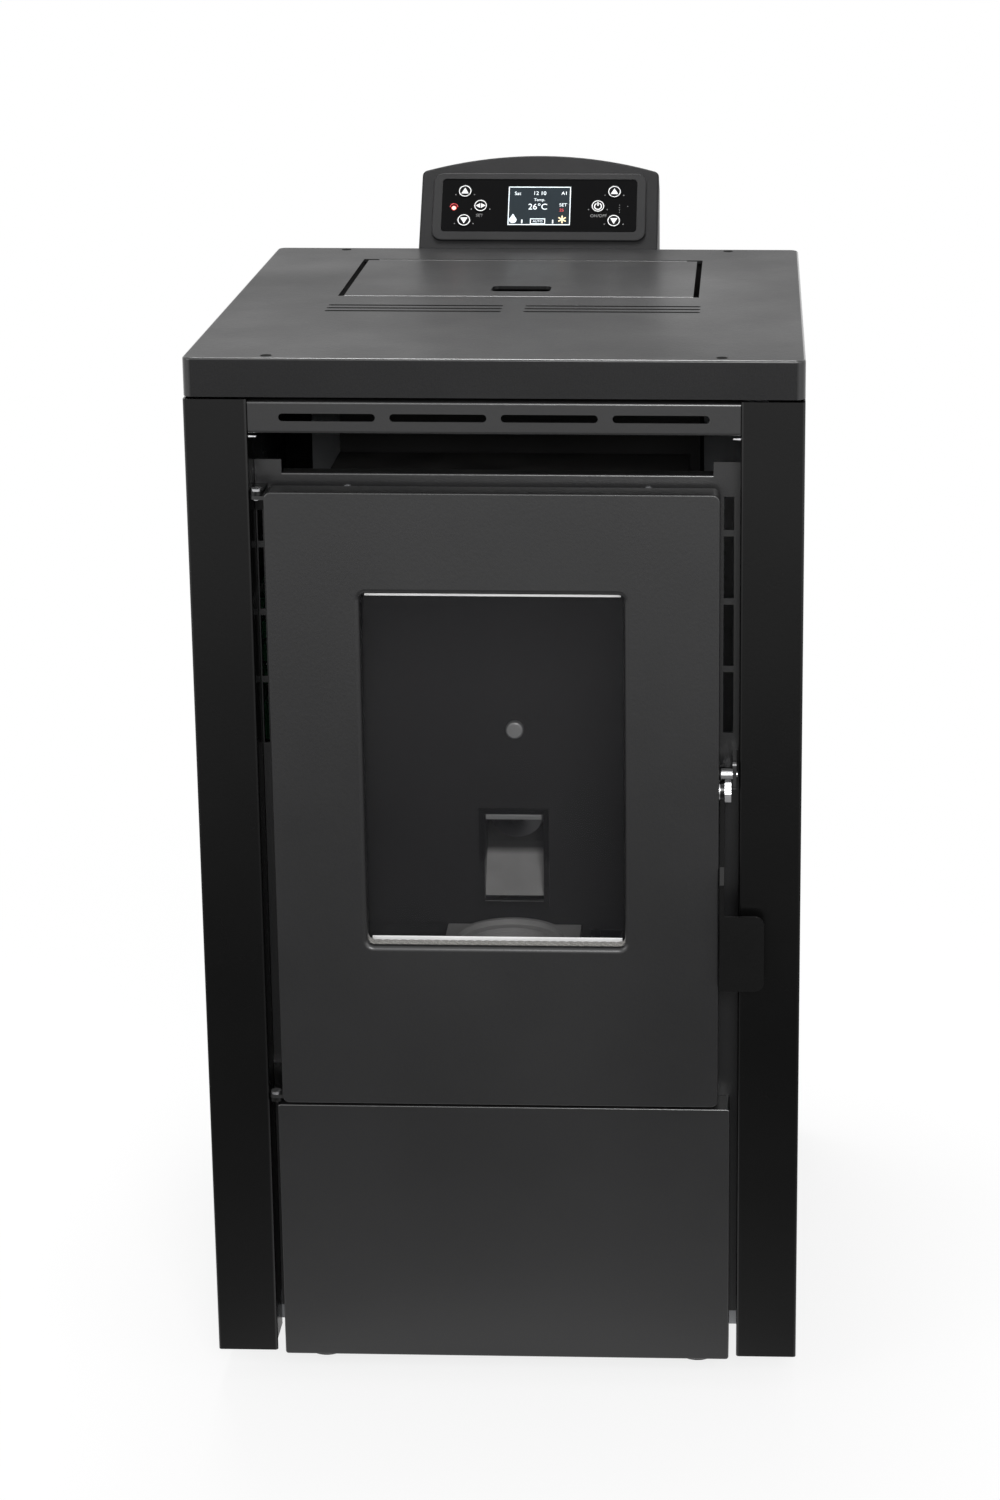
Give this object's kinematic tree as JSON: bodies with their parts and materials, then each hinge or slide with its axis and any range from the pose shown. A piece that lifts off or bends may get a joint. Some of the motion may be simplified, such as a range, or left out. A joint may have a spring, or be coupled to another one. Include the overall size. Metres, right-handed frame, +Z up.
{
  "type": "pellet stove",
  "caption": "Free-standing pellet stove with a glazed fire door, a lidded pellet hopper in its top plate, a feed auger, fans and a tilted control console.",
  "frame": {"origin": "middle of the footprint, on the floor", "axes": "+Z up, -Y out of the fire door, +X to the right of a person facing the door"},
  "size_m": [0.5, 0.603, 0.9906],
  "materials": {
    "case_paint": "fine sand textured matt black powder coat",
    "frame_paint": "satin dark grey powder coat",
    "stove_paint": "high temperature matt black paint, sooty inside",
    "raw_steel": "plain rolled steel",
    "zinc_steel": "zinc plated steel",
    "bright_steel": "bright plated fasteners",
    "cast_iron": "cast iron, heat stained",
    "vermiculite": "sooted refractory board",
    "black_plastic": "fine grained black plastic",
    "panel_plastic": "glossy black keypad panel",
    "key_plastic": "glossy black keys with pale print",
    "display": "lit display",
    "ceramic_glass": "clear ceramic glass with a grey tint",
    "rope_seal": "braided glass fibre rope",
    "black_rope": "graphited glass fibre rope",
    "rubber": "black rubber",
    "board": "green circuit board with components"
  },
  "bodies": {
    "cabinet": {"left_side_panel": "case_paint", "right_side_panel": "case_paint", "rear_panel": "zinc_steel", "casing_screws": "zinc_steel", "base_tray": "zinc_steel", "levelling_feet": "rubber", "top_plate": "case_paint", "top_plate_screws": "case_paint", "header_louvre": "frame_paint", "lid_hinge_bracket": "frame_paint", "lid_hinge_pin": "zinc_steel", "front_frame": "frame_paint", "lower_panel": "frame_paint", "firebox_shell": "stove_paint", "firebox_back_liner": "stove_paint", "liner_bolt": "bright_steel", "baffle_plate": "vermiculite", "pot_seat": "stove_paint", "ash_tray": "stove_paint", "igniter": "zinc_steel", "air_box": "raw_steel", "air_intake_pipe": "zinc_steel", "feed_chute": "stove_paint", "auger_tube": "raw_steel", "auger_motor": "zinc_steel", "hopper": "stove_paint", "smoke_duct": "raw_steel", "exhaust_blower_housing": "zinc_steel", "exhaust_motor": "zinc_steel", "flue_collar": "stove_paint", "convection_blower_housing": "zinc_steel", "convection_motor": "zinc_steel", "control_board": "board", "power_inlet": "black_plastic", "console_housing": "black_plastic", "console_fascia": "panel_plastic", "console_display": "display", "hinge_brackets": "stove_paint", "catch_pin": "bright_steel"},
    "door": {"door_skin": "frame_paint", "door_inner_frame": "stove_paint", "door_glass": "ceramic_glass", "glass_gasket": "rope_seal", "door_gasket": "black_rope", "glass_clips": "zinc_steel", "clip_screws": "zinc_steel", "door_hinge_pins": "bright_steel", "latch_pivot_bolt": "bright_steel"},
    "latch": {"latch_lever": "case_paint"},
    "lid": {"hopper_lid": "case_paint"},
    "pot": {"burn_pot": "cast_iron"},
    "feed_auger": {"auger_screw": "raw_steel"},
    "smoke_wheel": {"exhaust_impeller": "raw_steel"},
    "air_wheel": {"convection_impeller": "zinc_steel"},
    "left_up_button": {"key_left_up": "key_plastic"},
    "set_button": {"key_set": "key_plastic"},
    "left_down_button": {"key_left_down": "key_plastic"},
    "right_up_button": {"key_right_up": "key_plastic"},
    "power_button": {"key_power": "key_plastic"},
    "right_down_button": {"key_right_down": "key_plastic"}
  },
  "joints": [
    {"name": "door_hinge", "type": "hinge", "parent": "cabinet", "child": "door", "pos_m": [-0.193, -0.2855, 0.533], "axis": [0, 0, -1], "range_deg": [0, 100]},
    {"name": "latch_pivot", "type": "hinge", "parent": "door", "child": "latch", "pos_m": [0.18475, -0.282, 0.546], "axis": [-1, 0, 0], "range_deg": [0, 52]},
    {"name": "lid_hinge", "type": "hinge", "parent": "cabinet", "child": "lid", "pos_m": [0, 0.1667, 0.9075], "axis": [-1, 0, 0], "range_deg": [0, 80]},
    {"name": "burn_pot_lift", "type": "slide", "parent": "cabinet", "child": "pot", "axis": [0, 0, 1], "range_m": [0, 0.06]},
    {"name": "auger_turn", "type": "hinge", "parent": "cabinet", "child": "feed_auger", "pos_m": [-0.004, -0.0355, 0.433], "axis": [0, 0.7071, -0.7071], "continuous": true},
    {"name": "smoke_fan_turn", "type": "hinge", "parent": "cabinet", "child": "smoke_wheel", "pos_m": [0.12, 0.0415, 0.235], "axis": [1, 0, 0], "continuous": true},
    {"name": "warm_air_fan_turn", "type": "hinge", "parent": "cabinet", "child": "air_wheel", "pos_m": [-0.02, -0.1625, 0.106], "axis": [1, 0, 0], "continuous": true},
    {"name": "left_up_press", "type": "slide", "parent": "cabinet", "child": "left_up_button", "axis": [0, 0.7986, -0.6018], "range_m": [0, 0.001], "stiffness_N_per_m": 300},
    {"name": "set_press", "type": "slide", "parent": "cabinet", "child": "set_button", "axis": [0, 0.7986, -0.6018], "range_m": [0, 0.001], "stiffness_N_per_m": 300},
    {"name": "left_down_press", "type": "slide", "parent": "cabinet", "child": "left_down_button", "axis": [0, 0.7986, -0.6018], "range_m": [0, 0.001], "stiffness_N_per_m": 300},
    {"name": "right_up_press", "type": "slide", "parent": "cabinet", "child": "right_up_button", "axis": [0, 0.7986, -0.6018], "range_m": [0, 0.001], "stiffness_N_per_m": 300},
    {"name": "power_press", "type": "slide", "parent": "cabinet", "child": "power_button", "axis": [0, 0.7986, -0.6018], "range_m": [0, 0.001], "stiffness_N_per_m": 300},
    {"name": "right_down_press", "type": "slide", "parent": "cabinet", "child": "right_down_button", "axis": [0, 0.7986, -0.6018], "range_m": [0, 0.001], "stiffness_N_per_m": 300}
  ]
}
